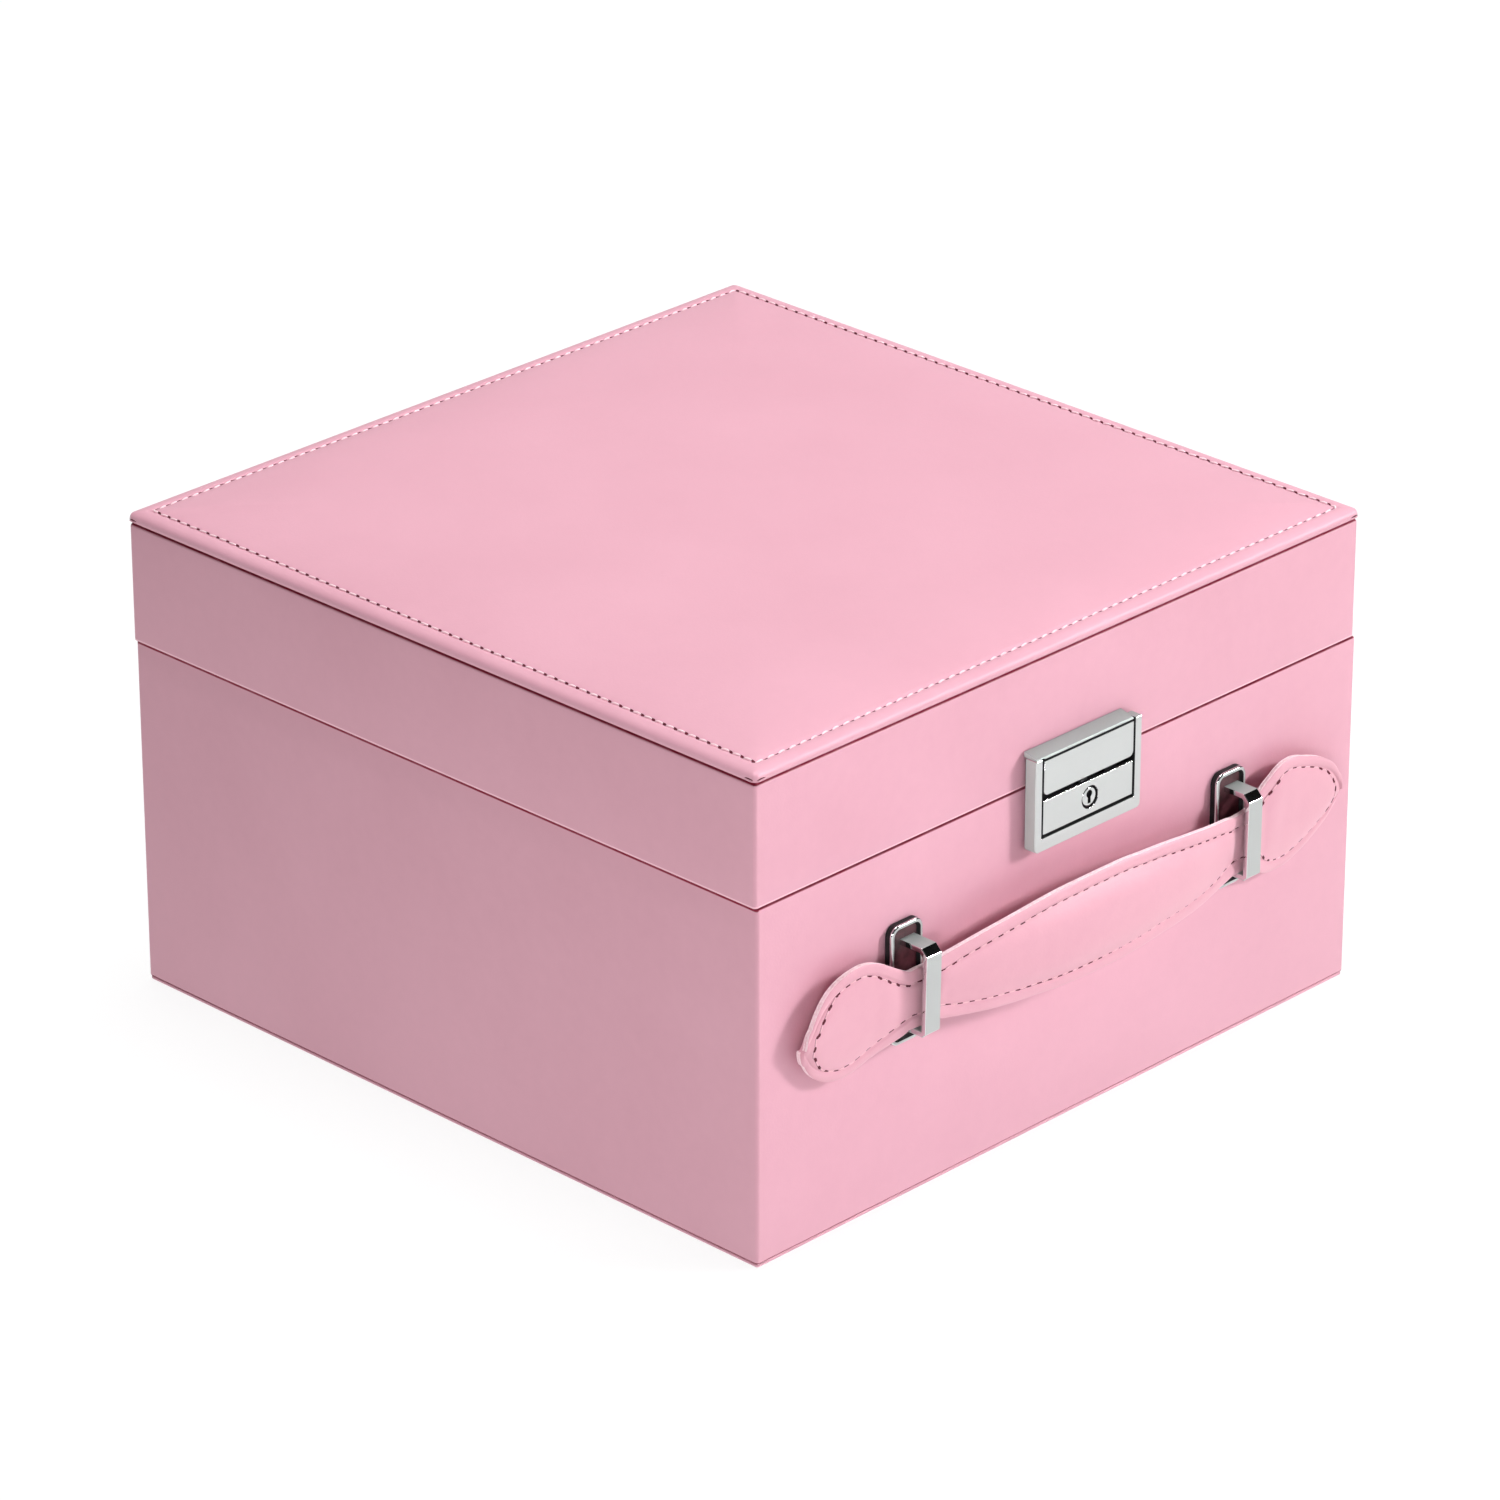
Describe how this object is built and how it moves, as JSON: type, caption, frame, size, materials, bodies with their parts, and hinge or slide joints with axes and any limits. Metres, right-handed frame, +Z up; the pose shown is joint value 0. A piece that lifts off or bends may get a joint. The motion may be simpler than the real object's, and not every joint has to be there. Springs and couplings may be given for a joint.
{
  "type": "leather jewellery case",
  "caption": "Square leather jewellery case with a padded hinged lid, front hasp lock, strap handle in metal loops, mirror inside the lid and a lift-out tray.",
  "frame": {"origin": "middle of the flat underside of the bottom board", "axes": "+Z up, -Y towards the front with the lock and the strap handle, +X to the right as seen from the front"},
  "size_m": [0.2306, 0.251, 0.1417],
  "materials": {
    "leather": "fine smooth grain, satin",
    "strap_leather": "fine smooth grain, satin, stitched",
    "board": "bare fibreboard",
    "lining": "short velvet pile",
    "foam": "soft foam",
    "chrome": "polished",
    "steel": "plain",
    "mirror": "silvered glass"
  },
  "bodies": {
    "base": {"bottom_board": "leather", "base_carcass": "board", "base_leather": "leather", "base_lining": "lining", "tray_ledge_left": "lining", "tray_ledge_right": "lining", "lower_divider_long": "lining", "lower_divider_front": "lining", "lower_divider_back": "lining", "hinge_base_leaf_left": "chrome", "hinge_base_leaf_right": "chrome", "hinge_pin_left": "chrome", "hinge_pin_right": "chrome", "hinge_screw_base_1": "steel", "hinge_screw_base_2": "steel", "hinge_screw_base_3": "steel", "hinge_screw_base_4": "steel", "lock_housing": "chrome", "lock_face_plate": "chrome", "lock_screw_1": "steel", "lock_screw_2": "steel", "bracket_left": "chrome", "bracket_right": "chrome", "bracket_screw_1": "steel", "bracket_screw_2": "steel", "bracket_screw_3": "steel", "bracket_screw_4": "steel"},
    "lid": {"lid_carcass": "board", "lid_leather": "leather", "lid_lining": "lining", "top_panel_board": "board", "top_panel_foam": "foam", "top_panel_leather": "leather", "mirror_frame": "leather", "mirror_glass": "mirror", "hinge_lid_leaf_left": "chrome", "hinge_lid_leaf_right": "chrome", "hinge_screw_lid_1": "steel", "hinge_screw_lid_2": "steel", "hinge_screw_lid_3": "steel", "hinge_screw_lid_4": "steel", "hasp_flap": "chrome", "hasp_screw_1": "steel", "hasp_screw_2": "steel"},
    "tray": {"tray_shell": "lining", "tray_lining": "lining", "tray_divider_long": "lining", "tray_divider_front": "lining", "tray_divider_back": "lining", "ring_roll_1": "lining", "ring_roll_2": "lining", "ring_roll_3": "lining", "ring_roll_4": "lining", "ring_roll_5": "lining", "tray_pull_tab_left": "leather", "tray_pull_tab_right": "leather"},
    "key_cylinder": {"key_plug": "chrome", "lock_cam": "steel"},
    "strap": {"strap_front_ply": "strap_leather", "strap_back_ply": "strap_leather"}
  },
  "joints": [
    {"name": "lid_hinge", "type": "hinge", "parent": "base", "child": "lid", "pos_m": [0, 0.1185, 0.1018], "axis": [-1, 0, 0], "range_deg": [0, 100]},
    {"name": "tray_lift", "type": "slide", "parent": "base", "child": "tray", "axis": [0, 0, 1], "range_m": [0, 0.028]},
    {"name": "key_turn", "type": "hinge", "parent": "base", "child": "key_cylinder", "pos_m": [0.004, -0.1187, 0.0937], "axis": [0, 1, 0], "range_deg": [0, 90]},
    {"name": "strap_slide", "type": "slide", "parent": "base", "child": "strap", "axis": [1, 0, 0], "range_m": [-0.001, 0.001]}
  ]
}
